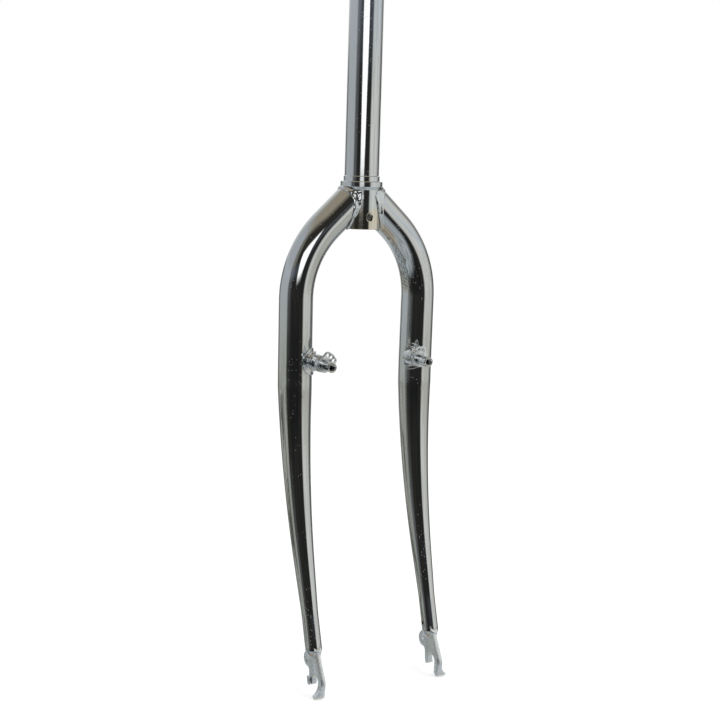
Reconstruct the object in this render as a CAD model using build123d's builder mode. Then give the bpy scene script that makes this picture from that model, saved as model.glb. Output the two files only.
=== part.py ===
from build123d import *
from math import cos, radians, sin, tan
import os

# A rigid bicycle fork for a rim-braked wheel. The origin lies on the steerer's axis, level with the
# shoulder that the headset race rests on. +Z runs up the steerer and the wheel sweeps forward to -Y.
# Left and right are the rider's, so the left side is +X.

# Steerer: a plain round tube, turned down a little at its foot to take the crown sleeve
steerer_od = 28.6
foot_od = 28.2
steerer_wall = 1.6
steerer_rise = 200.0
steerer_foot = 38.5
steerer_edge = 0.5
crown_hole_d = 6.2
crown_hole_drop = 28.5

# Crown race seat: a turned sleeve round the foot of the steerer, with a shoulder and a seat at its head
sleeve_od = 32.0
seat_od = 30.0
seat_height = 4.6
seat_edge = 0.5
shoulder_od = 35.0
shoulder_height = 6.6
shoulder_edge = 1.2

# Blades: a bend out of the crown, a long taper and a forward sweep
blade_od = 27.8
blade_wall = 1.6
tip_od = 13.3
crown_angle = 46.6
crown_peak = 12.43
crown_bend_radius = 80.8
leg_lean = 0.75
sweep_drop = 146.3
sweep_radius = 525.6
sweep_angle = 17.4
taper_from = 19.5
taper_to = 194.7
leg_sections = 14
vent_d = 3.0
vent_rise = 5.5

# Dropouts: flat plates with an open axle slot, a low hub seat, a mudguard eyelet and two outward lips
hub_width = 100.0
axle_drop = 384.6
tip_setback = 24.0
plate_thickness = 3.6
slot_width = 10.0
slot_rim = 5.7
hub_seat_height = 0.4
hub_seat_edge = 0.6
tongue_half_width = 3.8
tongue_length = 6.0
eyelet_d = 4.5
eyelet_rim = 3.2
eyelet_back = 15.8
eyelet_rise = 12.0
web_back = 6.0
web_radius = 5.5
rear_tine_reach = 5.2
front_tine_reach = 10.4
front_tine_width = 5.2
front_hook = 0.6
front_lip_height = 9.0
front_lip_depth = 4.2
front_lip_edge = 1.8
rear_lip_rise = 1.0
rear_lip_depth = 2.0
rear_lip_width = 2.6
crotch_fillet = 3.0
rear_tine_fillet = 1.2
slot_mouth_fillet = 3.0

# Brake bosses: a turned barrel on the blade, a stud for the brake arm and a tapped end
boss_spacing = 86.7
boss_drop = 143.7
base_od = 10.0
base_back = 7.0
barrel_od = 13.2
barrel_back = 13.5
barrel_front = 24.0
neck_od = 10.4
neck_taper = 2.6
groove_depth = 0.5
groove_width = 0.9
groove_pitch = 2.0
groove_count = 3
spigot_od = 9.0
stud_od = 8.0
stud_seat = 28.0
stud_end = 43.0
stud_edge = 0.6
tap_d = 5.2
tap_depth = 16.0

# Spring plates: stamped fans with a row of holes for the brake's return spring
spring_plate_thickness = 2.0
spring_plate_hub_od = 12.0
spring_hole_d = 2.4
spring_hole_circle = 8.2
spring_hole_step = 24.0
left_fan_turn = 12.0
right_fan_turn = 42.0
spring_hole_rim = 1.6

# Weld beads
crown_weld_root = 1.4
crown_weld_toe = 3.8
crown_weld_skin = 0.9
crown_weld_lip = 1.0
crown_weld_gap = 0.4
boss_weld_root = 9.5
boss_weld_toe = 13.0
boss_weld_skin = 1.0
boss_weld_back = 8.0
boss_weld_edge = 2.0
boss_weld_front = 18.0
boss_weld_height = 3.2
dropout_weld = 1.3

# Values that follow from the sizes above
lean = radians(leg_lean)
crown_turn = radians(crown_angle)
sweep_turn = radians(sweep_angle)
tip_x = hub_width / 2 + hub_seat_height + plate_thickness / 2
boss_x = boss_spacing / 2
stud_start = stud_seat + spring_plate_thickness
forward = Vector(0, -1, 0)
down = Vector(-sin(lean), 0, -cos(lean))


def leg_x(drop):
    return tip_x + tan(lean) * (axle_drop - drop)


# The blades' upper lines would cross at a peak above the shoulder, and their axes cross lower down
crown_drop = blade_od / 2 / sin(crown_turn) - crown_peak

# The crown's straight run meets the leg's line at a corner that the bend rounds off
corner_run = leg_x(crown_drop) / (sin(crown_turn) + tan(lean) * cos(crown_turn))
corner_drop = crown_drop + corner_run * cos(crown_turn)
bend_end_drop = corner_drop + crown_bend_radius * tan((crown_turn + lean) / 2) * cos(lean)
leg_start = (bend_end_drop - sweep_drop) / 2
leg_start_drop = sweep_drop + leg_start * cos(lean)

# The leg's distances are measured along its axis from the start of the forward sweep
sweep_length = sweep_radius * sweep_turn
fall_past_sweep = (axle_drop - sweep_drop) / cos(lean) - sweep_radius * sin(sweep_turn)
axle_distance = sweep_length + fall_past_sweep / cos(sweep_turn)
tip_distance = axle_distance - tip_setback


def leg_plane(distance):
    turn = min(max(distance / sweep_radius, 0), sweep_turn)
    past = distance - turn * sweep_radius
    fall = sweep_radius * sin(turn) + past * cos(turn)
    reach = sweep_radius * (1 - cos(turn)) + past * sin(turn)
    start = Vector(leg_x(sweep_drop), 0, -sweep_drop)
    return Plane(start + down * fall + forward * reach, (1, 0, 0), down * cos(turn) + forward * sin(turn))


def leg_radius(distance):
    share = min(max((distance - taper_from) / (taper_to - taper_from), 0), 1)
    return (blade_od + (tip_od - blade_od) * share) / 2


# The upper half of the blade's solid form, grown or shrunk all round by an inset
def crown_bend(inset):
    with BuildPart() as form:
        with BuildLine(Plane.XZ) as crown_path:
            FilletPolyline(
                (0, -crown_drop),
                (leg_x(corner_drop), -corner_drop),
                (leg_x(leg_start_drop), -leg_start_drop),
                radius=crown_bend_radius,
            )
        with BuildSketch(Plane(crown_path.line @ 0, (0, 1, 0), crown_path.line % 0)):
            Circle(blade_od / 2 - inset)
        sweep(path=crown_path.line)
    return form.part


# The lower half, which tapers, sweeps forward and ends in a dome
def tapered_leg(inset):
    with BuildPart() as form:
        for index in range(leg_sections):
            distance = leg_start + (tip_distance - leg_start) * index / (leg_sections - 1)
            with BuildSketch(leg_plane(distance)):
                Circle(leg_radius(distance) - inset)
        loft()
        with Locations(leg_plane(tip_distance)):
            Sphere(tip_od / 2 - inset, arc_size1=0, align=(Align.CENTER, Align.CENTER, Align.MIN))
    return form.part


bend_skin = crown_bend(0)
leg_skin = tapered_leg(0)
tall = 2 * (steerer_rise + steerer_foot)

# The hole across the crown, drilled through the sleeve and the steerer
with BuildPart() as crown_drill:
    with BuildSketch(Plane.XZ.offset(-sleeve_od)):
        with Locations((0, -crown_hole_drop)):
            Circle(crown_hole_d / 2)
    extrude(amount=2 * sleeve_od)

# Steerer tube
with BuildPart() as steerer_tube:
    with BuildSketch(Plane.XY.offset(-steerer_foot)):
        Circle(foot_od / 2)
    extrude(amount=steerer_foot + seat_height)
    with BuildSketch(Plane.XY.offset(seat_height)):
        Circle(steerer_od / 2)
    extrude(amount=steerer_rise - seat_height)
    Cylinder(steerer_od / 2 - steerer_wall, tall, mode=Mode.SUBTRACT)
    chamfer(steerer_tube.faces().sort_by(Axis.Z)[-1].edges(), steerer_edge)
    add(crown_drill.part, mode=Mode.SUBTRACT)

# Crown race seat
with BuildPart() as crown_race_seat:
    with BuildSketch(Plane.XY.offset(-shoulder_height)):
        Circle(shoulder_od / 2)
    extrude(amount=shoulder_height)
    chamfer(crown_race_seat.faces().sort_by(Axis.Z)[0].edges(), shoulder_edge)
    with BuildSketch():
        Circle(seat_od / 2)
    extrude(amount=seat_height)
    chamfer(crown_race_seat.faces().sort_by(Axis.Z)[-1].edges(), seat_edge)
    with BuildSketch(Plane.XY.offset(-steerer_foot)):
        Circle(sleeve_od / 2)
    extrude(amount=steerer_foot - shoulder_height)
    Cylinder(foot_od / 2, tall, mode=Mode.SUBTRACT)
    add(crown_drill.part, mode=Mode.SUBTRACT)

# Dropout outline, drawn on the wheel side with the axle at its origin and the rear of the fork to +X
axle = leg_plane(axle_distance).origin
tip = leg_plane(tip_distance).origin
seat_plane = Plane((hub_width / 2, axle.Y, axle.Z), (0, 1, 0), (1, 0, 0))
plate_plane = seat_plane.offset(hub_seat_height)
tip_point = (tip.Y - axle.Y, tip.Z - axle.Z)
tongue_point = (tip_point[0] + tongue_length * sin(sweep_turn), tip_point[1] + tongue_length * cos(sweep_turn))
rim_radius = slot_width / 2 + slot_rim
eyelet_point = (eyelet_back, eyelet_rise)
tine_x = -(slot_width + front_tine_width) / 2
hook_point = (tine_x + front_hook, front_tine_width / 2 - front_tine_reach)

with BuildSketch() as plate_body:
    Circle(rim_radius)
    with Locations(tip_point, tongue_point):
        Circle(tongue_half_width)
    make_hull()

with BuildSketch() as eyelet_web:
    with Locations(eyelet_point):
        Circle(eyelet_d / 2 + eyelet_rim)
    with Locations((web_back, eyelet_rise)):
        Circle(web_radius)
    with Locations(tip_point):
        Circle(tongue_half_width)
    make_hull()

with BuildSketch() as front_tine:
    with Locations(hook_point):
        Circle(front_tine_width / 2)
    with Locations((tine_x, 0)):
        Circle(front_tine_width / 2)
    make_hull()

with BuildSketch() as plate_outline:
    add(plate_body.sketch)
    add(eyelet_web.sketch)
    crotch = plate_outline.vertices().sort_by_distance((rim_radius, eyelet_rise - web_radius))[0]
    fillet(crotch, crotch_fillet)
    Circle(slot_width / 2, mode=Mode.SUBTRACT)
    Rectangle(slot_width, 2 * rim_radius, align=(Align.CENTER, Align.MAX), mode=Mode.SUBTRACT)
    with Locations((0, -rear_tine_reach)):
        Rectangle(2 * rim_radius, rim_radius, align=(Align.MIN, Align.MAX), mode=Mode.SUBTRACT)
    rear_tine_corners = plate_outline.vertices().filter_by_position(Axis.X, 0, rim_radius).group_by(Axis.Y)[0]
    fillet(rear_tine_corners.sort_by(Axis.X)[-1], rear_tine_fillet)
    fillet(plate_outline.vertices().sort_by_distance((slot_width / 2, -rear_tine_reach))[0], slot_mouth_fillet)
    add(front_tine.sketch)

with BuildSketch() as rear_lip_outline:
    with Locations((slot_width / 2, rear_lip_rise)):
        Rectangle(rim_radius, rear_lip_rise + rear_tine_reach, align=(Align.MIN, Align.MAX))
    add(plate_outline.sketch, mode=Mode.INTERSECT)
    Circle(rim_radius - rear_lip_width, mode=Mode.SUBTRACT)

# The front tine curls outwards: a side view of the curl, cut to the tine's outline
plate_outer_x = hub_width / 2 + hub_seat_height + plate_thickness
with BuildPart() as front_lip:
    with BuildSketch(Plane((plate_outer_x, axle.Y, axle.Z - front_tine_reach), (1, 0, 0), (0, -1, 0))):
        with BuildLine():
            Polyline(
                (0, front_lip_height),
                (-plate_thickness / 2, front_lip_height),
                (-plate_thickness / 2, 0),
                (front_lip_depth, 0),
                (front_lip_depth, front_lip_edge),
            )
            TangentArc((0, front_lip_height), (front_lip_depth, front_lip_edge), tangent=(0, -1))
        make_face()
    extrude(amount=rim_radius + front_tine_width, both=True)
    with BuildSketch(plate_plane):
        add(front_tine.sketch)
    extrude(amount=plate_thickness + front_lip_depth, mode=Mode.INTERSECT)

# Left dropout
with BuildPart() as left_dropout:
    with BuildSketch(plate_plane):
        add(plate_outline.sketch)
    extrude(amount=plate_thickness)
    with BuildSketch(seat_plane):
        Circle(rim_radius - hub_seat_edge)
        add(plate_outline.sketch, mode=Mode.INTERSECT)
    extrude(amount=hub_seat_height)
    with BuildSketch(plate_plane.offset(plate_thickness / 2)):
        add(rear_lip_outline.sketch)
    extrude(amount=plate_thickness / 2 + rear_lip_depth)
    add(front_lip.part)
    with BuildSketch(plate_plane):
        with Locations(eyelet_point):
            Circle(eyelet_d / 2)
    extrude(amount=plate_thickness, mode=Mode.SUBTRACT)

# Left blade: mitred round the sleeve and its shoulder, slotted for its dropout and vented
with BuildPart() as blade_bore:
    add(crown_bend(blade_wall))
    add(tapered_leg(blade_wall))

with BuildPart() as left_blade:
    add(bend_skin)
    add(leg_skin)
    add(blade_bore.part, mode=Mode.SUBTRACT)
    Cylinder(sleeve_od / 2, tall, mode=Mode.SUBTRACT)
    with BuildSketch(Plane.XY.offset(-shoulder_height)):
        Circle(shoulder_od / 2)
    extrude(amount=tall, mode=Mode.SUBTRACT)
    split(bisect_by=Plane.YZ.offset(crown_weld_gap / 2), keep=Keep.TOP)
    with BuildSketch(plate_plane):
        add(plate_outline.sketch)
    extrude(amount=plate_thickness, mode=Mode.SUBTRACT)
    vent_centre = leg_plane(tip_distance - vent_rise).origin
    with BuildSketch(Plane(vent_centre, (0, 1, 0), (-1, 0, 0))):
        Circle(vent_d / 2)
    extrude(amount=tip_od, mode=Mode.SUBTRACT)

# Left brake boss, turned about the stud's axis and seated on the blade
boss_plane = Plane((boss_x, 0, -boss_drop), (1, 0, 0), (0, 0, 1))
boss_axis = Axis((boss_x, 0, -boss_drop), (0, 1, 0))

with BuildPart() as left_brake_boss:
    with BuildSketch(boss_plane):
        with BuildLine():
            Polyline(
                (0, -base_back),
                (base_od / 2, -base_back),
                (base_od / 2, -barrel_back),
                (barrel_od / 2, -barrel_back),
                (barrel_od / 2, -barrel_front),
                (neck_od / 2, -barrel_front - neck_taper),
                (neck_od / 2, -stud_seat),
                (spigot_od / 2, -stud_seat),
                (spigot_od / 2, -stud_start),
                (stud_od / 2, -stud_start),
                (stud_od / 2, -stud_end + stud_edge),
                (stud_od / 2 - stud_edge, -stud_end),
                (0, -stud_end),
                close=True,
            )
        make_face()
        for index in range(groove_count):
            with Locations((barrel_od / 2, -barrel_front + groove_pitch * (index + 0.5))):
                Rectangle(2 * groove_depth, groove_width, mode=Mode.SUBTRACT)
        with Locations((0, -stud_end)):
            Rectangle(tap_d / 2, tap_depth, align=Align.MIN, mode=Mode.SUBTRACT)
    revolve(axis=boss_axis)
    add(leg_skin, mode=Mode.SUBTRACT)


# A spring plate on the left boss's spigot, its fan turned from upright towards the wheel
def spring_plate(fan_turn):
    fan = (90 + fan_turn - spring_hole_step, 2 * spring_hole_step)
    holes = PolarLocations(spring_hole_circle, 3, *fan, endpoint=True)
    with BuildPart() as plate:
        with BuildSketch(Plane((boss_x, -stud_seat, -boss_drop), (1, 0, 0), (0, -1, 0))):
            Circle(spring_plate_hub_od / 2)
            with holes:
                Circle(spring_hole_d / 2 + spring_hole_rim)
            make_hull()
            Circle(spigot_od / 2, mode=Mode.SUBTRACT)
            with holes:
                Circle(spring_hole_d / 2, mode=Mode.SUBTRACT)
        extrude(amount=spring_plate_thickness)
    return plate


left_spring_plate = spring_plate(left_fan_turn)
with BuildPart() as right_spring_plate:
    mirror(spring_plate(right_fan_turn).part, about=Plane.YZ)

# Left crown weld: a root bead in the corner of blade and sleeve, and a thin toe that laps over the blade
with BuildPart() as weld_toe:
    with BuildSketch(Plane.XY.offset(-steerer_foot)):
        Circle(sleeve_od / 2 + crown_weld_toe)
    extrude(amount=steerer_foot - shoulder_edge)
    add(crown_bend(-crown_weld_skin), mode=Mode.INTERSECT)

with BuildPart() as left_crown_weld:
    with BuildSketch(Plane.XY.offset(-steerer_foot - crown_weld_lip)):
        Circle(sleeve_od / 2 + crown_weld_root)
    extrude(amount=steerer_foot + crown_weld_lip - shoulder_height)
    add(crown_bend(-crown_weld_root), mode=Mode.INTERSECT)
    add(weld_toe.part)
    add(bend_skin, mode=Mode.SUBTRACT)
    Cylinder(sleeve_od / 2, tall, mode=Mode.SUBTRACT)
    add(crown_race_seat.part, mode=Mode.SUBTRACT)
    split(bisect_by=Plane.YZ.offset(crown_weld_gap / 2), keep=Keep.TOP)

# Left boss weld: a root bead that climbs to the barrel, and a thin toe that spreads over the blade
with BuildPart() as boss_weld_pad:
    with BuildSketch(Plane((boss_x, -boss_weld_back, -boss_drop), (1, 0, 0), (0, -1, 0))):
        Circle(boss_weld_toe)
    extrude(amount=blade_od)
    add(tapered_leg(-boss_weld_skin), mode=Mode.INTERSECT)

with BuildPart() as left_boss_weld:
    with BuildSketch(boss_plane):
        with BuildLine():
            Polyline(
                (0, -boss_weld_back),
                (boss_weld_root, -boss_weld_back),
                (boss_weld_root, -boss_weld_back - boss_weld_edge),
                (barrel_od / 2, -boss_weld_front),
                (0, -boss_weld_front),
                close=True,
            )
        make_face()
    revolve(axis=boss_axis)
    add(tapered_leg(-boss_weld_height), mode=Mode.INTERSECT)
    add(boss_weld_pad.part)
    add(leg_skin, mode=Mode.SUBTRACT)
    add(left_brake_boss.part, mode=Mode.SUBTRACT)

# Left dropout weld, the bead round the plate where it leaves the domed tip
with BuildPart() as left_dropout_weld:
    with BuildSketch(plate_plane.offset(-dropout_weld)):
        add(plate_outline.sketch)
        offset(amount=dropout_weld)
    extrude(amount=plate_thickness + 2 * dropout_weld)
    add(tapered_leg(-dropout_weld), mode=Mode.INTERSECT)
    add(leg_skin, mode=Mode.SUBTRACT)
    with BuildSketch(plate_plane):
        add(plate_outline.sketch)
    extrude(amount=plate_thickness, mode=Mode.SUBTRACT)

# One STEP file for each piece, the right side mirrored from the left
os.makedirs("parts", exist_ok=True)

single_pieces = {
    "steerer_tube": steerer_tube,
    "crown_race_seat": crown_race_seat,
    "left_spring_plate": left_spring_plate,
    "right_spring_plate": right_spring_plate,
}
left_pieces = {
    "blade": left_blade,
    "dropout": left_dropout,
    "brake_boss": left_brake_boss,
    "crown_weld": left_crown_weld,
    "boss_weld": left_boss_weld,
    "dropout_weld": left_dropout_weld,
}
finished = dict(single_pieces)
for name, left in left_pieces.items():
    with BuildPart() as right:
        mirror(left.part, about=Plane.YZ)
    finished[f"left_{name}"] = left
    finished[f"right_{name}"] = right

for name, piece in finished.items():
    piece.part.label = name
    export_step(piece.part, f"parts/{name}.step")
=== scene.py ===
import math

import bpy
from mathutils import Matrix, Vector


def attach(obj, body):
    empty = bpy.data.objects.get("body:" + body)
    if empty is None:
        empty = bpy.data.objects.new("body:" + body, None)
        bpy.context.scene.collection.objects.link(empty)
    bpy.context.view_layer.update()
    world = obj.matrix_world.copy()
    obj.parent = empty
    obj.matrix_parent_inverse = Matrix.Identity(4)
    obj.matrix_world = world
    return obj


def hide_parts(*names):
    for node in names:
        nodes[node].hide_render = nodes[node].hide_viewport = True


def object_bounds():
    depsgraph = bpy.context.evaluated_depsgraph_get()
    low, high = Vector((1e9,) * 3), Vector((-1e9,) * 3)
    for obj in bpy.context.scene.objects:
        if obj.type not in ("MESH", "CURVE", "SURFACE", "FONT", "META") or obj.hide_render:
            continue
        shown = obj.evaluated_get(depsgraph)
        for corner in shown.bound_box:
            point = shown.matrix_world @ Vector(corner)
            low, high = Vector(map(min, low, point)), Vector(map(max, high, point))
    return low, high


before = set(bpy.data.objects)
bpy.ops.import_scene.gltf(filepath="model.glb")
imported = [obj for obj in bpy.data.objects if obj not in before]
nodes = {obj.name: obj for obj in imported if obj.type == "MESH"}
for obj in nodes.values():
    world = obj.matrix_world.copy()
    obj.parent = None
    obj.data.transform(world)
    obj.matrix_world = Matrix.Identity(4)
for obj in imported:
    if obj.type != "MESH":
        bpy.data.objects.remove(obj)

# A chromed rigid bicycle fork on a pale studio floor. Lengths are in metres, in the CAD frame:
# the steerer stands on +Z, the blades sweep forward to -Y and the rider's left is +X.

mm = 0.001
upright = Vector((0, 0, 1))
forward = Vector((0, -1, 0))
sideways = Vector((1, 0, 0))
bothSides = ("left", "right")
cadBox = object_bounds()


def deselectAll():
    if bpy.context.mode != "OBJECT":
        bpy.ops.object.mode_set(mode="OBJECT")
    bpy.ops.object.select_all(action="DESELECT")


def pick(*pieces):
    deselectAll()
    for piece in pieces:
        piece.select_set(True)
    bpy.context.view_layer.objects.active = pieces[0]


# sRGB hex to linear, the form that sockets take
def hexColour(code):
    channels = [int(code[i:i + 2], 16) / 255 for i in (1, 3, 5)]
    return [c / 12.92 if c <= 0.04045 else ((c + 0.055) / 1.055) ** 2.4 for c in channels] + [1.0]


# Adds one node, sets its properties and inputs, and links the inputs that are given as sockets,
# or as nodes whose first output is meant
def addNode(tree, kind, inputs=None, **settings):
    node = tree.nodes.new("ShaderNode" + kind)
    for name, value in settings.items():
        setattr(node, name, value)
    for name, value in (inputs or {}).items():
        if isinstance(value, bpy.types.Node):
            value = value.outputs[0]
        if isinstance(value, bpy.types.NodeSocket):
            tree.links.new(value, node.inputs[name])
        else:
            node.inputs[name].default_value = value
    return node


def newMaterial(name):
    material = bpy.data.materials.new(name)
    material.use_nodes = True
    material.node_tree.nodes.clear()
    return material, material.node_tree


# One colour painted over another, from the value where it starts to show to the value where it covers
def paintOver(tree, under, over, value, begin, full):
    share = addNode(tree, "MapRange", {
        "Value": value, "From Min": begin, "From Max": full}, interpolation_type="SMOOTHSTEP")
    return addNode(tree, "Mix", {"Factor": share, 6: under, 7: over}, data_type="RGBA").outputs[2]


# Camera, at the photograph's viewing angle
cameraSet = {
    "place": (-496.5 * mm, -941.3 * mm, 29.2 * mm),
    "yaw": 27.74,
    "pitch": 1.52,
    "roll": -1.65,
    "lens": 65.25,
    "sensor": 36.0,
    "shiftY": -0.25,
    "nearest": 10 * mm,
}


def setCamera():
    yaw, pitch, roll = (math.radians(cameraSet[k]) for k in ("yaw", "pitch", "roll"))
    look = Vector((math.sin(yaw) * math.cos(pitch), math.cos(yaw) * math.cos(pitch), -math.sin(pitch)))
    right = Vector((math.cos(yaw), -math.sin(yaw), 0))
    up = right.cross(look)
    turnedRight = right * math.cos(roll) - up * math.sin(roll)
    turnedUp = right * math.sin(roll) + up * math.cos(roll)
    data = bpy.data.cameras.new("camera")
    data.lens = cameraSet["lens"]
    data.sensor_width = cameraSet["sensor"]
    data.shift_y = cameraSet["shiftY"]
    data.clip_start = cameraSet["nearest"]
    camera = bpy.data.objects.new("camera", data)
    bpy.context.scene.collection.objects.link(camera)
    turn = Matrix((turnedRight, turnedUp, -look)).transposed()
    camera.matrix_world = Matrix.Translation(cameraSet["place"]) @ turn.to_4x4()
    bpy.context.scene.camera = camera
    print("camera set")


# Stage: a pale floor, a white sky, two soft lamps, and a dome and a window that only reflections see
stageSet = {
    "floorDrop": 0.5 * mm,
    "floorSide": 30.0,
    "floorColour": "#F6F6F5",
    "floorLift": 0.25,
    "domeRadius": 3.0,
    "domeCentre": (0, 0, -0.08),
    "domeGrid": (96, 48),
    "white": "#FFFFFF",
    "skySeen": 1.0,
    "skyLight": 0.85,
    "lampSide": 0.9,
    "lamps": (("keyLamp", (1.2, -1.4, 1.6), 10.0), ("fillLamp", (-1.6, -0.9, 1.3), 5.0)),
}

# The room round the fork, painted on the dome: each panel's span in degrees of azimuth from the camera
# towards the picture's right, then its colours low down, at eye level, high up and at the top
domePanels = (
    ("white backdrop", -180, -152, ("#F6F7F6", "#FAFBFB", "#F8F9F9", "#F8F9F9")),
    ("left doorway", -144, -136, ("#6A6C68", "#6C7072", "#DDE0E1", "#DDE0E1")),
    ("left wall", -120, -62, ("#C2C4BC", "#C6CCD0", "#CCD2DA", "#C4CAD0")),
    ("left curtain", -52, -42, ("#34352F", "#66686A", "#80868C", "#8A8982")),
    ("dark room", -30, 46, ("#222324", "#292B2B", "#5A626C", "#34332F")),
    ("right wall", 55, 104, ("#D3D2C9", "#F6F7F3", "#E8F0F7", "#EFF0EC")),
    ("right doorway", 134, 145, ("#4E4E4C", "#525250", "#8E8E8B", "#8E8E8B")),
    ("white backdrop", 152, 180, ("#FFFFFF", "#FFFFFF", "#FFFFFF", "#FFFFFF")),
)
panelLevels = {"low": 0, "eye": 1, "high": 2, "top": 3}

# Where the colours at eye level start to pass into those of each other level and have passed, in degrees
domeSteps = (("low", -6.0, -13.0), ("high", 5.0, 11.0), ("top", 13.0, 20.0))

# Plain layers over the panels: the elevations where each starts to show and where it covers
domeLayers = (
    ("cream ceiling", "#B0A796", 38.0, 60.0),
    ("pale paving", "#CBD3D8", -21.0, -34.0),
    ("brown earth", "#C9BCA8", -48.0, -70.0),
)

# Things that stand along the walls: their span, their size across and up, and the elevations where they start
# to show and where they show most, all in degrees, then their colour and how far it shows
domeClutter = (
    ("left wall", (-130, -46), (11.0, 1.7), (-9.0, -18.0), "#34352E", 0.9),
    ("dark room", (-44, 54), (12.0, 9.0), (60.0, 40.0), "#423D36", 0.4),
    ("right wall", (50, 112), (16.0, 4.0), (20.0, 12.0), "#B4B6B2", 0.35),
)
clutterEdge = 8.0  # degrees over which they thin out at the ends of their span
clutterLevel = (0.43, 0.6)  # noise levels between which a thing's outline lies

# A window near the camera, a little wider at its head than at its foot, in metres across and up
windowSet = {
    "away": 0.8,
    "card": 2.0,  # the sheet that carries it, clear outside the window
    "foot": -0.085,
    "head": 0.2,
    "top": 0.32,
    "left": (0.13, 0.25),
    "right": (0.2, 0.36),
    "soft": 0.07,
    "softFoot": 0.12,
    "strength": 1.9,
}


# A place, turned so that its own Z axis points away from the fork
def standAt(place):
    return Matrix.Translation(place) @ Vector(place).to_track_quat("Z", "Y").to_matrix().to_4x4()


# The panels at one level as a colour ramp, run by the turn round the dome
def panelRamp(tree, turn, level):
    ramp = addNode(tree, "ValToRGB", {"Fac": turn})
    stops = ramp.color_ramp.elements
    ends = [(degrees, colours[level]) for word, begin, end, colours in domePanels for degrees in (begin, end)]
    while len(stops) < len(ends):
        stops.new(0.5)
    for stop, (degrees, colour) in zip(stops, ends):
        stop.position = 0.5 + degrees / 360  # the camera is at the middle of the ramp
        stop.color = hexColour(colour)
    return ramp.outputs["Color"]


# Object coordinates turned so that X runs towards the camera
def cameraPlace(tree, centre):
    place = addNode(tree, "TexCoord").outputs["Object"]
    azimuth = math.atan2(cameraSet["place"][1], cameraSet["place"][0])
    centred = addNode(tree, "VectorMath", {0: place, 1: centre}, operation="SUBTRACT")
    return addNode(tree, "VectorRotate", {"Vector": centred, "Angle": -azimuth}, rotation_type="Z_AXIS")


# How much of the clutter shows: a noise of its size, thinned out at the ends of its span and at its height
def clutterAmount(tree, degrees, rise, span, size, heights, most):
    across = addNode(tree, "Math", {0: degrees, 1: size[0]}, operation="DIVIDE")
    along = addNode(tree, "Math", {0: rise, 1: size[1]}, operation="DIVIDE")
    cell = addNode(tree, "CombineXYZ", {"X": across, "Y": along})
    things = addNode(tree, "TexNoise", {"Vector": cell, "Scale": 1.0, "Detail": 2.0}, noise_dimensions="2D")
    begin, end = span
    limits = (
        (things, *clutterLevel),
        (degrees, begin, begin + clutterEdge),
        (degrees, end, end - clutterEdge),
        (rise, *heights),
    )
    amount = most
    for value, none, full in limits:
        share = addNode(tree, "MapRange", {
            "Value": value, "From Min": none, "From Max": full}, interpolation_type="SMOOTHSTEP")
        amount = addNode(tree, "Math", {0: amount, 1: share}, operation="MULTIPLY")
    return amount


# Cloth stretched over a dome, painted with the room and evenly lit: the chrome mirrors it
def domeMaterial():
    material, tree = newMaterial("stretched dome cloth")
    faced = cameraPlace(tree, stageSet["domeCentre"])
    turn = addNode(tree, "TexGradient", {"Vector": faced}, gradient_type="RADIAL").outputs["Fac"]
    unit = addNode(tree, "VectorMath", {0: faced}, operation="NORMALIZE")
    height = addNode(tree, "SeparateXYZ", {"Vector": unit}).outputs["Z"]
    slope = addNode(tree, "Math", {0: height}, operation="ARCSINE")
    rise = addNode(tree, "Math", {0: slope}, operation="DEGREES")
    cloth = panelRamp(tree, turn, panelLevels["eye"])
    for word, begin, full in domeSteps:
        cloth = paintOver(tree, cloth, panelRamp(tree, turn, panelLevels[word]), rise, begin, full)
    for word, colour, begin, full in domeLayers:
        cloth = paintOver(tree, cloth, hexColour(colour), rise, begin, full)
    centred = addNode(tree, "Math", {0: turn, 1: 0.5}, operation="SUBTRACT")
    degrees = addNode(tree, "Math", {0: centred, 1: 360.0}, operation="MULTIPLY")
    for word, span, size, heights, colour, most in domeClutter:
        amount = clutterAmount(tree, degrees, rise, span, size, heights, most)
        mixed = addNode(tree, "Mix", {"Factor": amount, 6: cloth, 7: hexColour(colour)}, data_type="RGBA")
        cloth = mixed.outputs[2]
    glow = addNode(tree, "Emission", {"Color": cloth, "Strength": 1.0})
    addNode(tree, "OutputMaterial", {"Surface": glow})
    return material


# Bright glass that fades out at the window's slanting sides, level top and foot
def windowMaterial():
    material, tree = newMaterial("bright window glass")
    place = addNode(tree, "SeparateXYZ", {"Vector": cameraPlace(tree, (0, 0, 0))}).outputs
    depth = addNode(tree, "Math", {0: windowSet["top"], 1: place["Z"]}, operation="SUBTRACT")
    for side, operation in (("left", "ADD"), ("right", "SUBTRACT")):
        atFoot, atHead = windowSet[side]
        edge = addNode(tree, "MapRange", {
            "Value": place["Z"], "From Min": windowSet["foot"], "From Max": windowSet["head"],
            "To Min": atFoot, "To Max": atHead})
        inside = addNode(tree, "Math", {0: edge, 1: place["Y"]}, operation=operation)
        depth = addNode(tree, "Math", {0: depth, 1: inside}, operation="MINIMUM")
    soft = addNode(tree, "MapRange", {
        "Value": depth, "From Min": 0.0, "From Max": windowSet["soft"]}, interpolation_type="SMOOTHSTEP")
    fade = addNode(tree, "MapRange", {
        "Value": place["Z"], "From Min": windowSet["foot"],
        "From Max": windowSet["foot"] + windowSet["softFoot"]}, interpolation_type="SMOOTHSTEP")
    amount = addNode(tree, "Math", {0: soft, 1: fade}, operation="MULTIPLY")
    clear = addNode(tree, "BsdfTransparent")
    glow = addNode(tree, "Emission", {
        "Color": hexColour(stageSet["white"]), "Strength": windowSet["strength"]})
    shown = addNode(tree, "MixShader", {0: amount, 1: clear, 2: glow})
    addNode(tree, "OutputMaterial", {"Surface": shown})
    return material


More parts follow.
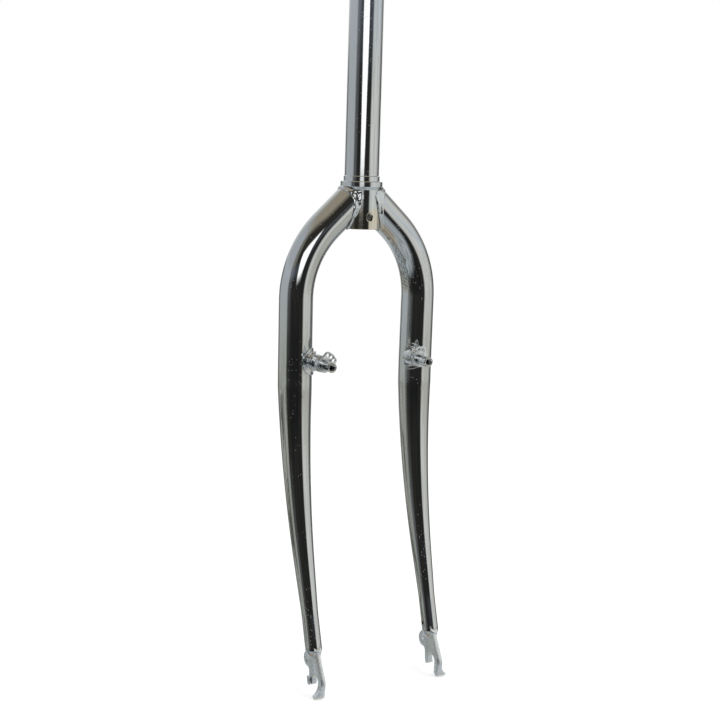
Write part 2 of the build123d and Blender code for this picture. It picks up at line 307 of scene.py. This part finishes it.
# Matt paint, lifted a little for the camera so that it meets the white sky and still takes the shadow
def floorMaterial():
    material, tree = newMaterial("matt painted floor")
    seen = addNode(tree, "LightPath").outputs["Is Camera Ray"]
    lift = addNode(tree, "Math", {0: seen, 1: stageSet["floorLift"]}, operation="MULTIPLY")
    surface = addNode(tree, "BsdfPrincipled", {
        "Base Color": hexColour(stageSet["floorColour"]), "Roughness": 0.9, "Specular IOR Level": 0.0,
        "Emission Color": hexColour(stageSet["white"]), "Emission Strength": lift})
    addNode(tree, "OutputMaterial", {"Surface": surface})
    return material


def makeFloor():
    deselectAll()
    floorZ = cadBox[0][2] - stageSet["floorDrop"]
    bpy.ops.mesh.primitive_plane_add(size=stageSet["floorSide"], location=(0, 0, floorZ))
    floor = bpy.context.object
    floor.name = "floor"
    floor.data.materials.append(floorMaterial())
    floor.visible_glossy = False  # the chrome mirrors the dome's paving instead
    return floor


def makeDome():
    deselectAll()
    segments, rings = stageSet["domeGrid"]
    bpy.ops.mesh.primitive_uv_sphere_add(
        segments=segments, ring_count=rings, radius=stageSet["domeRadius"])
    dome = bpy.context.object
    dome.name = "lightDome"
    dome.data.transform(Matrix.Translation(stageSet["domeCentre"]))
    dome.data.materials.append(domeMaterial())
    return dome


def makeWindow():
    deselectAll()
    bpy.ops.mesh.primitive_plane_add(size=windowSet["card"])
    window = bpy.context.object
    window.name = "windowCard"
    toCamera = Vector((cameraSet["place"][0], cameraSet["place"][1], 0)).normalized()
    window.data.transform(standAt(toCamera * windowSet["away"]))
    window.data.materials.append(windowMaterial())
    return window


# White where the camera, metal or glass shows the sky, and a little less as light
def paintSky():
    world = bpy.data.worlds.new("studio")
    bpy.context.scene.world = world
    world.use_nodes = True
    tree = world.node_tree
    tree.nodes.clear()
    rays = addNode(tree, "LightPath").outputs
    seen = rays["Is Camera Ray"]
    for ray in ("Is Glossy Ray", "Is Transmission Ray"):
        seen = addNode(tree, "Math", {0: seen, 1: rays[ray]}, operation="MAXIMUM")
    strength = addNode(tree, "MapRange", {
        "Value": seen, "To Min": stageSet["skyLight"], "To Max": stageSet["skySeen"]})
    sky = addNode(tree, "Background", {"Color": hexColour(stageSet["white"]), "Strength": strength})
    addNode(tree, "OutputWorld", {"Surface": sky})


def hangLamps():
    for name, place, power in stageSet["lamps"]:
        lampData = bpy.data.lights.new(name, "AREA")
        lampData.energy = power
        lampData.size = stageSet["lampSide"]
        lamp = bpy.data.objects.new(name, lampData)
        bpy.context.scene.collection.objects.link(lamp)
        lamp.matrix_world = standAt(place)
        lamp.visible_glossy = False


def makeStage():
    floor = makeFloor()
    dome = makeDome()
    window = makeWindow()
    for card in (dome, window):
        for ray in ("camera", "diffuse", "transmission", "volume_scatter", "shadow"):
            setattr(card, "visible_" + ray, False)
    paintSky()
    hangLamps()
    bpy.context.scene.view_settings.view_transform = "Standard"
    print("stage set")


noiseSpan = (0.3, 0.7)  # the values that a noise mostly lies between


# An uneven skin: a noise of a real size, and the bump that it gives
def unevenSkin(tree, size, depth, strength, detail):
    place = addNode(tree, "TexCoord").outputs["Object"]
    noise = addNode(tree, "TexNoise", {"Vector": place, "Scale": 1 / size, "Detail": detail})
    bump = addNode(tree, "Bump", {"Height": noise, "Strength": strength, "Distance": depth})
    return noise, bump


def metalSurface(tree, colour, roughness, bump, metallic=1.0):
    surface = addNode(tree, "BsdfPrincipled", {
        "Base Color": colour, "Metallic": metallic, "Roughness": roughness, "Normal": bump})
    addNode(tree, "OutputMaterial", {"Surface": surface})


# Polished chromium plate over drawn steel tube: a sharp mirror with slow waves, a little haze and a few pits
chromeSet = {
    "colour": "#C6C8C8",
    "roughness": (0.04, 0.08),
    "haze": 30 * mm,
    "wave": 14 * mm,
    "waveDepth": 0.16 * mm,
    "waveStrength": 0.4,
    "pit": 1.7 * mm,  # coarser than real pits, so that they show
    "pitDepth": 0.2 * mm,
    "pitEdge": (0.17, 0.04),  # from a cell's middle to the rim and to the bottom of its pit, in cells
    "pitChance": 0.42,  # a cell needs a random value above this to hold a pit
    "cluster": 22 * mm,
    "clusterEdge": (0.35, 0.6),  # noise levels where a cluster begins and where it is full
}


# Pits lie in clusters, and there only the cells of some random colours hold one
def pitBump(tree, place):
    cells = addNode(tree, "TexVoronoi", {"Vector": place, "Scale": 1 / chromeSet["pit"]}).outputs
    rim, bottom = chromeSet["pitEdge"]
    hollow = addNode(tree, "MapRange", {
        "Value": cells["Distance"], "From Min": rim, "From Max": bottom}, interpolation_type="SMOOTHSTEP")
    clusters = addNode(tree, "TexNoise", {"Vector": place, "Scale": 1 / chromeSet["cluster"], "Detail": 1.0})
    none, full = chromeSet["clusterEdge"]
    clustered = addNode(tree, "MapRange", {
        "Value": clusters, "From Min": none, "From Max": full}, interpolation_type="SMOOTHSTEP")
    chance = addNode(tree, "SeparateXYZ", {"Vector": cells["Color"]}).outputs["X"]
    share = addNode(tree, "Math", {0: chance, 1: clustered}, operation="MULTIPLY")
    holds = addNode(tree, "Math", {0: share, 1: chromeSet["pitChance"]}, operation="GREATER_THAN")
    pitted = addNode(tree, "Math", {0: hollow, 1: holds}, operation="MULTIPLY")
    return addNode(tree, "Bump", {"Height": pitted, "Strength": 1.0, "Distance": -chromeSet["pitDepth"]})


def chromeMaterial():
    material, tree = newMaterial("polished chromium plate")
    place = addNode(tree, "TexCoord").outputs["Object"]
    waves = addNode(tree, "TexNoise", {
        "Vector": place, "Scale": 1 / chromeSet["wave"], "Detail": 2.0, "Roughness": 0.4})
    bump = addNode(tree, "Bump", {
        "Height": waves, "Strength": chromeSet["waveStrength"], "Distance": chromeSet["waveDepth"],
        "Normal": pitBump(tree, place)})
    haze = addNode(tree, "TexNoise", {"Vector": place, "Scale": 1 / chromeSet["haze"], "Detail": 4.0})
    sharp, dull = chromeSet["roughness"]
    rough = addNode(tree, "MapRange", {
        "Value": haze, "From Min": noiseSpan[0], "From Max": noiseSpan[1], "To Min": sharp, "To Max": dull})
    metalSurface(tree, hexColour(chromeSet["colour"]), rough, bump)
    return material


# Chromium plate over an unground weld: bright and uneven
weldSet = {
    "colour": "#D0D3D4",
    "roughness": 0.2,
    "grain": {"size": 2.4 * mm, "depth": 0.2 * mm, "strength": 0.2, "detail": 1.0},
}


def weldMaterial():
    material, tree = newMaterial("plated weld bead")
    grain, bump = unevenSkin(tree, **weldSet["grain"])
    metalSurface(tree, hexColour(weldSet["colour"]), weldSet["roughness"], bump)
    return material


# Chromium plate over unpolished forged plate: satin and a little mottled
satinSet = {
    "colour": "#E2E5E7",
    "roughness": (0.24, 0.34),
    "mottle": {"size": 1.3 * mm, "depth": 0.2 * mm, "strength": 0.25, "detail": 2.0},
}


def satinMaterial():
    material, tree = newMaterial("satin plated forging")
    mottle, bump = unevenSkin(tree, **satinSet["mottle"])
    sharp, dull = satinSet["roughness"]
    rough = addNode(tree, "MapRange", {
        "Value": mottle, "From Min": noiseSpan[0], "From Max": noiseSpan[1], "To Min": sharp, "To Max": dull})
    metalSurface(tree, hexColour(satinSet["colour"]), rough, bump)
    return material


# Chromium plate over lathe-turned steel: a soft mirror, given a warmer colour below a set height
turnedSet = {
    "colour": "#C8CBCC",
    "tint": "#CFC8BA",
    "tintFade": 3 * mm,
    "roughness": 0.1,
    "grain": {"size": 6 * mm, "depth": 0.12 * mm, "strength": 0.3, "detail": 1.0},
}


def turnedMaterial(name, tintTop=None):
    material, tree = newMaterial(name)
    grain, bump = unevenSkin(tree, **turnedSet["grain"])
    colour = hexColour(turnedSet["colour"])
    # Warmer colour below the given height, with its edge made uneven by the grain noise
    if tintTop:
        fade = turnedSet["tintFade"]
        place = addNode(tree, "TexCoord").outputs["Object"]
        height = addNode(tree, "SeparateXYZ", {"Vector": place}).outputs["Z"]
        wander = addNode(tree, "Math", {0: grain, 1: fade}, operation="MULTIPLY")
        uneven = addNode(tree, "Math", {0: height, 1: wander}, operation="ADD")
        colour = paintOver(tree, colour, hexColour(turnedSet["tint"]), uneven, tintTop, tintTop - fade)
    metalSurface(tree, colour, turnedSet["roughness"], bump)
    return material


# Drawn steel that the polisher can't reach: grey, dull and faintly streaked
boreSet = {
    "colours": ("#7E7C76", "#A8A69F"),
    "metallic": 0.3,
    "roughness": 0.65,
    "streak": {"size": 3 * mm, "depth": 0.1 * mm, "strength": 0.3, "detail": 3.0},
}


def boreMaterial():
    material, tree = newMaterial("unpolished drawn steel")
    streaks, bump = unevenSkin(tree, **boreSet["streak"])
    dark, pale = (hexColour(code) for code in boreSet["colours"])
    colour = addNode(tree, "Mix", {"Factor": streaks, 6: dark, 7: pale}, data_type="RGBA").outputs[2]
    metalSurface(tree, colour, boreSet["roughness"], bump, boreSet["metallic"])
    return material


mergeGap = 0.002 * mm  # vertices nearer than this become one
endGap = 0.001 * mm  # a vertex as near as this to the end of a section is that end
flatAngle = math.radians(1)  # edges between faces as flat as this are dissolved


# One ring of a round section: a circle at its centre, square to its axis
def addRing(centre, axis, radius, sides):
    deselectAll()
    turn = Vector(axis).to_track_quat("Z", "Y").to_euler()
    bpy.ops.mesh.primitive_circle_add(vertices=sides, radius=radius, location=centre, rotation=turn)
    return bpy.context.object


# Joins rings into one skin, bridged in their order, with both ends filled
def bridgeRings(name, rings):
    pick(*rings)
    bpy.ops.object.join()
    piece = bpy.context.object
    piece.name = piece.data.name = name
    bpy.ops.object.transform_apply(location=True, rotation=True, scale=True)
    bpy.ops.object.mode_set(mode="EDIT")
    bpy.ops.mesh.select_all(action="SELECT")
    bpy.ops.mesh.bridge_edge_loops(type="SINGLE")
    bpy.ops.mesh.select_all(action="DESELECT")
    bpy.ops.mesh.select_non_manifold()
    bpy.ops.mesh.fill_holes(sides=0)
    bpy.ops.mesh.select_all(action="SELECT")
    bpy.ops.mesh.normals_make_consistent(inside=False)
    bpy.ops.object.mode_set(mode="OBJECT")
    return piece


# A turned piece: a vertex extruded along its half section, then spun round the axis.
# The section is closed where the piece has a bore right through it
def turnPiece(name, section, centre, axis, sides, closed):
    centre = Vector(centre)
    places = [centre + axis * along + sideways * radius for along, radius in section]
    deselectAll()
    bpy.ops.mesh.primitive_plane_add(size=1 * mm, location=places[0])
    piece = bpy.context.object
    piece.name = piece.data.name = name
    bpy.ops.object.transform_apply(location=True, rotation=True, scale=True)
    bpy.ops.object.mode_set(mode="EDIT")
    bpy.ops.mesh.select_all(action="SELECT")
    bpy.ops.mesh.merge(type="CENTER")
    for here, there in zip(places, places[1:]):
        bpy.ops.mesh.extrude_vertices_move(TRANSFORM_OT_translate={"value": there - here})
    bpy.ops.mesh.select_all(action="SELECT")
    if closed:
        bpy.ops.object.mode_set(mode="OBJECT")
        for vertex in piece.data.vertices:
            vertex.select = min((vertex.co - places[0]).length, (vertex.co - places[-1]).length) < endGap
        bpy.ops.object.mode_set(mode="EDIT")
        bpy.ops.mesh.edge_face_add()
        bpy.ops.mesh.select_all(action="SELECT")
    bpy.ops.mesh.spin(steps=sides, angle=math.tau, center=centre, axis=axis)
    bpy.ops.mesh.select_all(action="SELECT")
    bpy.ops.mesh.remove_doubles(threshold=mergeGap)
    bpy.ops.mesh.normals_make_consistent(inside=False)
    bpy.ops.object.mode_set(mode="OBJECT")
    return piece


def applyModifier(piece, kind, **settings):
    pick(piece)
    modifier = piece.modifiers.new(kind.lower(), kind)
    for name, value in settings.items():
        setattr(modifier, name, value)
    bpy.ops.object.modifier_apply(modifier=modifier.name)


def cutAway(piece, cutter):
    applyModifier(piece, "BOOLEAN", operation="DIFFERENCE", solver="EXACT", object=cutter)
    bpy.data.objects.remove(cutter)


# Cuts a plain cylinder on the Z axis out of a piece
def cutCylinder(piece, radius, low, high, sides):
    deselectAll()
    bpy.ops.mesh.primitive_cylinder_add(
        vertices=sides, radius=radius, depth=high - low, location=(0, 0, (low + high) / 2))
    cutAway(piece, bpy.context.object)


def shade(piece, degrees):
    pick(piece)
    bpy.ops.object.shade_smooth_by_angle(angle=math.radians(degrees))


# A copy of a CAD node's mesh, merged and cleaned of its flat triangles
def copyNode(nodeName, pieceName):
    piece = bpy.data.objects.new(pieceName, nodes[nodeName].data.copy())
    piece.data.name = pieceName
    bpy.context.scene.collection.objects.link(piece)
    pick(piece)
    bpy.ops.object.mode_set(mode="EDIT")
    bpy.ops.mesh.select_all(action="SELECT")
    bpy.ops.mesh.remove_doubles(threshold=mergeGap)
    bpy.ops.mesh.dissolve_limited(angle_limit=flatAngle)
    bpy.ops.object.mode_set(mode="OBJECT")
    return piece


# The same piece on the rider's right
def mirrorPiece(piece, name):
    twin = bpy.data.objects.new(name, piece.data.copy())
    twin.data.name = name
    bpy.context.scene.collection.objects.link(twin)
    twin.data.transform(Matrix.Diagonal((-1, 1, 1, 1)))
    pick(twin)
    bpy.ops.object.mode_set(mode="EDIT")
    bpy.ops.mesh.select_all(action="SELECT")
    bpy.ops.mesh.normals_make_consistent(inside=False)
    bpy.ops.object.mode_set(mode="OBJECT")
    return twin


def finishPiece(piece, nodeName, material):
    piece.data.materials.clear()
    piece.data.materials.append(material)
    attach(piece, "root")
    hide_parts(nodeName)


# Blades, modelled on the rider's left
bladeSize = {
    "radius": 13.9 * mm,
    "tipRadius": 6.65 * mm,
    "crownAngle": 46.6,
    "crownPeak": 12.43 * mm,
    "bendRadius": 80.8 * mm,
    "lean": 0.75,
    "tipX": 52.2 * mm,
    "axleDrop": 384.6 * mm,
    "tipSetback": 24.0 * mm,
    "sweepDrop": 146.3 * mm,
    "sweepRadius": 525.6 * mm,
    "sweepAngle": 17.4,
    "taperFrom": 19.5 * mm,
    "taperTo": 194.7 * mm,
    "sides": 96,
    "headRings": 8,
    "bendRings": 36,
    "legRings": 90,
    "domeRings": 10,
    "ventRadius": 1.5 * mm,
    "ventRise": 5.5 * mm,
    "ventSides": 48,
    "mitreReach": 100 * mm,  # how far the cutters of the crown's mitre reach past it
    "smoothAngle": 35,
}

# Lines of the blade, worked out from those sizes
crownTurn = math.radians(bladeSize["crownAngle"])
lean = math.radians(bladeSize["lean"])
sweepTurn = math.radians(bladeSize["sweepAngle"])
down = Vector((-math.sin(lean), 0, -math.cos(lean)))
crownDrop = bladeSize["radius"] / math.sin(crownTurn) - bladeSize["crownPeak"]
crownAxis = Vector((math.sin(crownTurn), 0, -math.cos(crownTurn)))


def legX(drop):
    return bladeSize["tipX"] + math.tan(lean) * (bladeSize["axleDrop"] - drop)


# A place on the leg's axis and the axis there, by distance from the start of the forward sweep
def legPlace(distance):
    turn = min(max(distance / bladeSize["sweepRadius"], 0), sweepTurn)
    past = distance - turn * bladeSize["sweepRadius"]
    fall = bladeSize["sweepRadius"] * math.sin(turn) + past * math.cos(turn)
    reach = bladeSize["sweepRadius"] * (1 - math.cos(turn)) + past * math.sin(turn)
    start = Vector((legX(bladeSize["sweepDrop"]), 0, -bladeSize["sweepDrop"]))
    return start + down * fall + forward * reach, down * math.cos(turn) + forward * math.sin(turn)


def legRadius(distance):
    share = (distance - bladeSize["taperFrom"]) / (bladeSize["taperTo"] - bladeSize["taperFrom"])
    return bladeSize["radius"] + (bladeSize["tipRadius"] - bladeSize["radius"]) * min(max(share, 0), 1)


# The axes of the crown's arm and of the leg meet at a corner, which the bend rounds off
cornerRun = legX(crownDrop) / (math.sin(crownTurn) + math.tan(lean) * math.cos(crownTurn))
bendSetback = bladeSize["bendRadius"] * math.tan((crownTurn + lean) / 2)
sweepFall = (bladeSize["axleDrop"] - bladeSize["sweepDrop"]) / math.cos(lean)
fallPast = sweepFall - bladeSize["sweepRadius"] * math.sin(sweepTurn)
axleDistance = bladeSize["sweepRadius"] * sweepTurn + fallPast / math.cos(sweepTurn)
tipDistance = axleDistance - bladeSize["tipSetback"]


def makeBlade():
    rings = []
    size, sides = bladeSize, bladeSize["sides"]
    head = Vector((0, 0, -crownDrop))
    bendStart = head + crownAxis * (cornerRun - bendSetback)
    for step in range(size["headRings"]):
        place = head.lerp(bendStart, step / size["headRings"])
        rings.append(addRing(place, crownAxis, size["radius"], sides))
    # The bend turns about a centre that lies inside it
    inward = Vector((-math.cos(crownTurn), 0, -math.sin(crownTurn)))
    bendCentre = bendStart + inward * size["bendRadius"]
    for step in range(size["bendRings"] + 1):
        spin = Matrix.Rotation((crownTurn + lean) * step / size["bendRings"], 3, "Y")
        place = bendCentre - spin @ inward * size["bendRadius"]
        rings.append(addRing(place, spin @ crownAxis, size["radius"], sides))
    legStart = (-size["sweepDrop"] - place.z) / math.cos(lean)
    for step in range(1, size["legRings"] + 1):
        distance = legStart + (tipDistance - legStart) * step / size["legRings"]
        place, axis = legPlace(distance)
        rings.append(addRing(place, axis, legRadius(distance), sides))
    # A round end closes the tip
    for step in range(1, size["domeRings"]):
        turn = math.pi / 2 * step / size["domeRings"]
        domePlace = place + axis * size["tipRadius"] * math.sin(turn)
        rings.append(addRing(domePlace, axis, size["tipRadius"] * math.cos(turn), sides))
    return bridgeRings("leftBlade", rings)


# The vent on the leg's inner side, a short way above its tip
def drillVent(piece):
    size = bladeSize
    place, axis = legPlace(tipDistance - size["ventRise"])
    deselectAll()
    bpy.ops.mesh.primitive_cylinder_add(
        vertices=size["ventSides"], radius=size["ventRadius"], depth=2 * size["tipRadius"],
        location=place - sideways * size["tipRadius"], rotation=(0, math.pi / 2, 0))
    cutAway(piece, bpy.context.object)


# Steerer tube, open at both ends
steererSize = {
    "radius": 14.3 * mm,
    "footRadius": 14.1 * mm,
    "bore": 12.7 * mm,
    "boreSlack": 0.05 * mm,
    "foot": -38.5 * mm,
    "step": 4.6 * mm,
    "top": 200.0 * mm,
    "edge": 0.5 * mm,
    "holeRadius": 3.1 * mm,
    "holeZ": -28.5 * mm,
    "holeSides": 64,
    "sides": 192,
    "smoothAngle": 35,
}


# The hole across the crown, through the sleeve and the steerer, with its mouth broken where it is asked for
def drillCrown(piece, mouth=None):
    size = steererSize
    hole = size["holeRadius"]
    through = 4 * size["radius"]  # twice the tube's width, so that it comes out behind
    cutters = [(hole, hole, through, 0)]
    if mouth:
        place, depth, flare = mouth
        cutters.append((hole + 2 * depth * flare, hole, 2 * depth, -place))
    for wide, narrow, deep, y in cutters:
        deselectAll()
        bpy.ops.mesh.primitive_cone_add(
            vertices=size["holeSides"], radius1=narrow, radius2=wide, depth=deep,
            location=(0, y, size["holeZ"]), rotation=(math.pi / 2, 0, 0))
        cutAway(piece, bpy.context.object)


def makeSteerer():
    size = steererSize
    section = [
        (size["foot"], size["bore"]),
        (size["foot"], size["footRadius"] - size["edge"] / 2),
        (size["foot"] + size["edge"] / 2, size["footRadius"]),
        (size["step"], size["footRadius"]),
        (size["step"], size["radius"]),
        (size["top"] - size["edge"], size["radius"]),
        (size["top"], size["radius"] - size["edge"]),
        (size["top"], size["bore"]),
    ]
    steerer = turnPiece("steererTube", section, (0, 0, 0), upright, size["sides"], closed=True)
    drillCrown(steerer)
    shade(steerer, size["smoothAngle"])
    return steerer


# Gives the steerer's inner wall its own finish
def lineBore(steerer, material):
    steerer.data.materials.append(material)
    reach = steererSize["bore"] + steererSize["boreSlack"]
    for face in steerer.data.polygons:
        if all(steerer.data.vertices[i].co.xy.length < reach for i in face.vertices):
            face.material_index = 1


# Crown race seat, a turned sleeve with a shoulder and a seat at its head, and its edges broken
ringSize = {
    "bore": 14.1 * mm,
    "sleeve": 16.0 * mm,
    "foot": -38.5 * mm,
    "mouth": 0.35 * mm,
    "mouthFlare": 2,  # the hole's mouth widens by twice its depth
    "holeBand": 4.4 * mm,
    "shoulder": 17.5 * mm,
    "shoulderFoot": -6.6 * mm,
    "shoulderEdge": (1.2 * mm, 2.6 * mm),
    "seat": 15.0 * mm,
    "seatTop": 4.6 * mm,
    "seatEdge": 0.5 * mm,
    "edge": 0.25 * mm,
    "tintTop": -19 * mm,
    "sides": 240,
    "smoothAngle": 18,
}


def makeRing():
    size, edge = ringSize, ringSize["edge"]
    section = [
        (size["foot"], size["bore"]),
        (size["foot"], size["sleeve"] - edge),
        (size["foot"] + edge, size["sleeve"]),
        (steererSize["holeZ"] - size["holeBand"], size["sleeve"]),
        (steererSize["holeZ"] + size["holeBand"], size["sleeve"]),
        (size["shoulderFoot"], size["sleeve"]),
        (size["shoulderFoot"], size["shoulder"] - size["shoulderEdge"][0]),
        (size["shoulderFoot"] + size["shoulderEdge"][1], size["shoulder"]),
        (-edge, size["shoulder"]),
        (0, size["shoulder"] - edge),
        (0, size["seat"] + edge),
        (edge, size["seat"]),
        (size["seatTop"] - size["seatEdge"], size["seat"]),
        (size["seatTop"], size["seat"] - size["seatEdge"]),
        (size["seatTop"], size["bore"]),
    ]
    ring = turnPiece("crownRaceSeat", section, (0, 0, 0), upright, size["sides"], closed=True)
    drillCrown(ring, (size["sleeve"], size["mouth"], size["mouthFlare"]))
    shade(ring, size["smoothAngle"])
    return ring


# Brake boss: barrel, neck, spigot and stud, with a tapped end.
# Places along it are measured forward from Y = 0, and a radius follows them
bossSize = {
    "x": 43.35 * mm,
    "z": -143.7 * mm,
    "base": (9.0 * mm, 5.0 * mm),
    "barrel": (13.5 * mm, 24.0 * mm, 6.6 * mm),
    "neck": (26.6 * mm, 28.0 * mm, 5.2 * mm),
    "spigot": (30.0 * mm, 4.5 * mm),
    "stud": (43.0 * mm, 4.0 * mm),
    "tap": (27.0 * mm, 2.6 * mm),
    "grooves": (19.0 * mm, 21.0 * mm, 23.0 * mm),
    "groove": (0.45 * mm, 0.5 * mm),  # half its width, and its depth
    "thread": (1.0 * mm, 0.35 * mm),  # pitch, and depth of a tooth
    "edge": 0.3 * mm,
    "sides": 80,
    "smoothAngle": 28,
}


def makeBoss():
    size, edge = bossSize, bossSize["edge"]
    back, front, barrel = size["barrel"]
    half, depth = size["groove"]
    section = [(size["base"][0], 0), size["base"], (back, size["base"][1])]
    section += [(back, barrel - edge), (back + edge, barrel)]
    for middle in size["grooves"]:
        section += [(middle - half, barrel), (middle - half / 2, barrel - depth)]
        section += [(middle + half / 2, barrel - depth), (middle + half, barrel)]
    neckStart, neckEnd, neck = size["neck"]
    section += [(front - edge, barrel), (front, barrel - edge), (neckStart, neck), (neckEnd, neck)]
    spigotEnd, spigot = size["spigot"]
    studEnd, stud = size["stud"]
    section += [(neckEnd, spigot), (spigotEnd, spigot), (spigotEnd, stud)]
    section += [(studEnd - 2 * edge, stud), (studEnd, stud - 2 * edge)]
    # Thread: a zigzag down the tapped hole
    floor, tap = size["tap"]
    pitch, tooth = size["thread"]
    section.append((studEnd, tap + edge))
    turns = int((studEnd - floor) / pitch)
    for index in range(turns):
        along = studEnd - edge - pitch * index
        section += [(along, tap), (along - pitch / 2, tap - tooth)]
    section += [(floor, tap), (floor - edge, 0)]
    place = (size["x"], 0, size["z"])
    boss = turnPiece("leftBrakeBoss", section, place, forward, size["sides"], closed=False)
    shade(boss, size["smoothAngle"])
    return boss


# Flat plates keep the CAD outline and get rounded edges: each kind's node, name and edge
plateSize = {
    "kinds": (("spring_plate", "SpringPlate", 0.25 * mm), ("dropout", "Dropout", 0.5 * mm)),
    "edgeSteps": 3,
    "smoothAngle": 40,
}


def makePlate(nodeName, pieceName, edge):
    piece = copyNode(nodeName, pieceName)
    applyModifier(piece, "BEVEL", width=edge, segments=plateSize["edgeSteps"], limit_method="ANGLE",
                  angle_limit=math.radians(plateSize["smoothAngle"]))
    shade(piece, plateSize["smoothAngle"])
    return piece


# Each bead's voxel size, rounds of easing before its lumps, the lumps' size and depth, the noise level that
# leaves the skin in place, and rounds of easing after. A boss's bead keeps a share of its CAD length
crownLook = {
    "left": {"voxel": 0.4 * mm, "easing": 14, "lump": 5.0 * mm,
             "depth": 0.7 * mm, "level": 0.5, "finish": 8},
    "right": {"voxel": 0.4 * mm, "easing": 14, "lump": 5.6 * mm,
              "depth": 2.1 * mm, "level": 0.56, "finish": 8},
}
bossLook = {"voxel": 0.3 * mm, "easing": 6, "lump": 4.5 * mm, "depth": 0.45 * mm, "level": 0.45, "finish": 12}
tipLook = {"voxel": 0.3 * mm, "easing": 6, "lump": 3.0 * mm, "depth": 0.3 * mm, "level": 0.5, "finish": 3}
bossBeadShare = 0.86


# Weld beads start from the CAD bead, are remeshed fine enough for lumps, eased and pushed about by a noise
def makeWeld(nodeName, pieceName, look):
    piece = copyNode(nodeName, pieceName)
    applyModifier(piece, "REMESH", mode="VOXEL", voxel_size=look["voxel"])
    applyModifier(piece, "SMOOTH", factor=0.5, iterations=look["easing"])
    noise = bpy.data.textures.new(pieceName, "CLOUDS")
    noise.noise_scale = look["lump"]
    noise.noise_depth = 1
    applyModifier(piece, "DISPLACE", texture=noise, strength=look["depth"], mid_level=look["level"],
                  texture_coords="LOCAL")
    applyModifier(piece, "SMOOTH", factor=0.5, iterations=look["finish"])
    pick(piece)
    bpy.ops.object.shade_smooth()
    return piece


# Draws a boss's bead in along the leg, where the torch left less metal
def drawInBead(bead, share):
    middle = Matrix.Translation((0, 0, bossSize["z"]))
    bead.data.transform(middle @ Matrix.Diagonal((1, 1, share, 1)) @ middle.inverted())


setCamera()
makeStage()
chrome = chromeMaterial()
weld = weldMaterial()
satin = satinMaterial()
turned = turnedMaterial("plated turned steel")
sleeve = turnedMaterial("plated and tinted sleeve", ringSize["tintTop"])

steerer = makeSteerer()
finishPiece(steerer, "steerer_tube", chrome)
lineBore(steerer, boreMaterial())
finishPiece(makeRing(), "crown_race_seat", sleeve)
print("steerer and ring made")

blade = makeBlade()
reach = bladeSize["mitreReach"]
cutCylinder(blade, ringSize["sleeve"], -reach, reach, ringSize["sides"])
cutCylinder(blade, ringSize["shoulder"], ringSize["shoulderFoot"], reach, ringSize["sides"])
drillVent(blade)
shade(blade, bladeSize["smoothAngle"])
finishPiece(blade, "left_blade", chrome)
finishPiece(mirrorPiece(blade, "rightBlade"), "right_blade", chrome)
print("blades made")

boss = makeBoss()
finishPiece(boss, "left_brake_boss", turned)
finishPiece(mirrorPiece(boss, "rightBrakeBoss"), "right_brake_boss", turned)
for side in bothSides:
    for node, word, edge in plateSize["kinds"]:
        plate = makePlate(side + "_" + node, side + word, edge)
        finishPiece(plate, side + "_" + node, satin)
print("bosses and plates made")

for side in bothSides:
    beads = (
        ("crown_weld", "CrownWeld", crownLook[side], weld),
        ("boss_weld", "BossWeld", bossLook, weld),
        ("dropout_weld", "DropoutWeld", tipLook, satin),
    )
    for node, word, look, finish in beads:
        bead = makeWeld(side + "_" + node, side + word, look)
        if look is bossLook:
            drawInBead(bead, bossBeadShare)
        finishPiece(bead, side + "_" + node, finish)
print("welds made")

bpy.context.view_layer.update()
